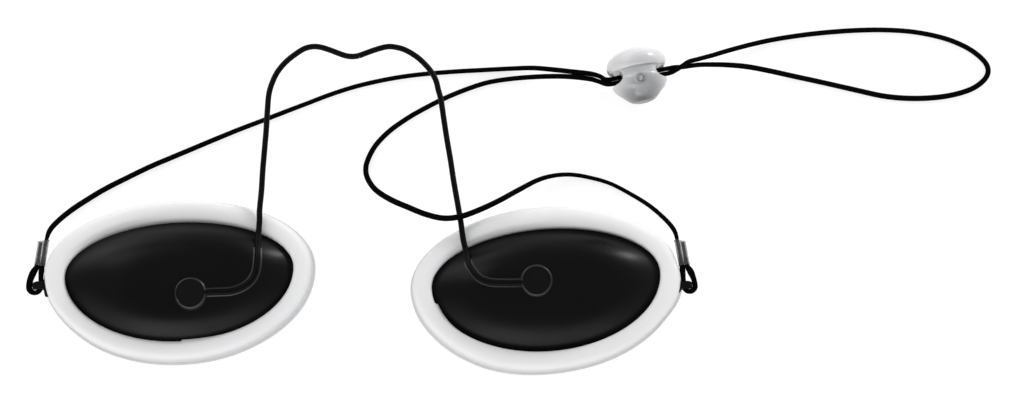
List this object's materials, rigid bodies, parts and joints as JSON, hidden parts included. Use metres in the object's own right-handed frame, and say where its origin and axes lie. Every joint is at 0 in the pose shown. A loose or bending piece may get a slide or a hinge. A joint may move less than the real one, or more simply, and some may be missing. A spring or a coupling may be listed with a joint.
{
  "type": "patient laser blockout glasses",
  "caption": "Two opaque eye cups with soft seals on a bendable wire nose bridge, held by an elastic cord with a spring cord lock.",
  "frame": {"origin": "on the table plane, under the middle of the two cups and the wire bridge", "axes": "+Z away from the face, from the seals to the domed shells; +X from the cup on the left of the picture to the one on its right; +Y towards the forehead side of the bridge"},
  "size_m": [0.2166, 0.0794, 0.0136],
  "materials": {
    "shell_plastic": "satin black moulded polycarbonate",
    "seal_silicone": "soft white moulded silicone",
    "pad_plastic": "black moulded",
    "wire_steel": "annealed wire",
    "wire_vinyl": "black vinyl sleeve",
    "cord_elastic": "round black elastic cord",
    "clear_vinyl": "clear shrunk sleeve",
    "lock_plastic": "milky translucent nylon",
    "spring_steel": "bright spring wire"
  },
  "bodies": {
    "bridge_left": {"left_crest_wire": "wire_steel", "left_crest_sleeve": "wire_vinyl", "left_bend_wire": "wire_steel", "left_bend_sleeve": "wire_vinyl", "centre_bend_wire": "wire_steel", "centre_bend_sleeve": "wire_vinyl", "left_cord": "cord_elastic", "right_cord": "cord_elastic", "cord_bight": "cord_elastic"},
    "left_cup": {"left_shell": "shell_plastic", "left_seal": "seal_silicone", "left_wire_pad": "pad_plastic", "left_leg_wire": "wire_steel", "left_leg_sleeve": "wire_vinyl"},
    "bridge_right": {"right_crest_wire": "wire_steel", "right_crest_sleeve": "wire_vinyl", "right_bend_wire": "wire_steel", "right_bend_sleeve": "wire_vinyl"},
    "right_cup": {"right_shell": "shell_plastic", "right_seal": "seal_silicone", "right_wire_pad": "pad_plastic", "right_leg_wire": "wire_steel", "right_leg_sleeve": "wire_vinyl"},
    "left_cord_end": {"left_cord_eye": "cord_elastic", "left_crimp": "clear_vinyl"},
    "right_cord_end": {"right_cord_eye": "cord_elastic", "right_crimp": "clear_vinyl"},
    "cord_lock": {"lock_body": "lock_plastic", "lock_spring": "spring_steel", "cord_in_lock": "cord_elastic"},
    "plunger": {"lock_plunger": "lock_plastic"}
  },
  "joints": [
    {"name": "left_wrap", "type": "hinge", "parent": "bridge_left", "child": "left_cup", "pos_m": [-0.0108, 0.0362, 0.008], "axis": [0, -1, 0], "range_deg": [-15, 35], "deforming": ["left_bend_wire", "left_bend_sleeve", "left_cord"]},
    {"name": "bridge_spread", "type": "hinge", "parent": "bridge_left", "child": "bridge_right", "pos_m": [-0.0024, 0.0339, 0.008], "axis": [0, 0, 1], "range_deg": [-12, 18], "deforming": ["centre_bend_wire", "centre_bend_sleeve", "right_cord"]},
    {"name": "right_wrap", "type": "hinge", "parent": "bridge_right", "child": "right_cup", "pos_m": [0.0061, 0.0362, 0.008], "axis": [0, 1, 0], "range_deg": [-15, 35], "deforming": ["right_bend_wire", "right_bend_sleeve", "right_cord"]},
    {"name": "left_loop_swing", "type": "hinge", "parent": "left_cup", "child": "left_cord_end", "pos_m": [-0.07117, -0.01759, 0.0048], "axis": [-0.0489, 0.9988, 0], "range_deg": [-30, 30], "deforming": ["left_cord"]},
    {"name": "right_loop_swing", "type": "hinge", "parent": "right_cup", "child": "right_cord_end", "pos_m": [0.07172, -0.01754, 0.0048], "axis": [-0.0802, 0.9968, 0], "range_deg": [-30, 30], "deforming": ["right_cord"]},
    {"name": "lock_slide", "type": "slide", "parent": "bridge_left", "child": "cord_lock", "axis": [0.9826, 0.1857, 0], "range_m": [-0.02, 0.03], "deforming": ["left_cord", "right_cord", "cord_bight"]},
    {"name": "plunger_press", "type": "slide", "parent": "cord_lock", "child": "plunger", "axis": [0.1857, -0.9826, 0], "range_m": [0, 0.0012], "stiffness_N_per_m": 200, "springref_m": -0.002, "deforming": ["lock_spring"]}
  ]
}
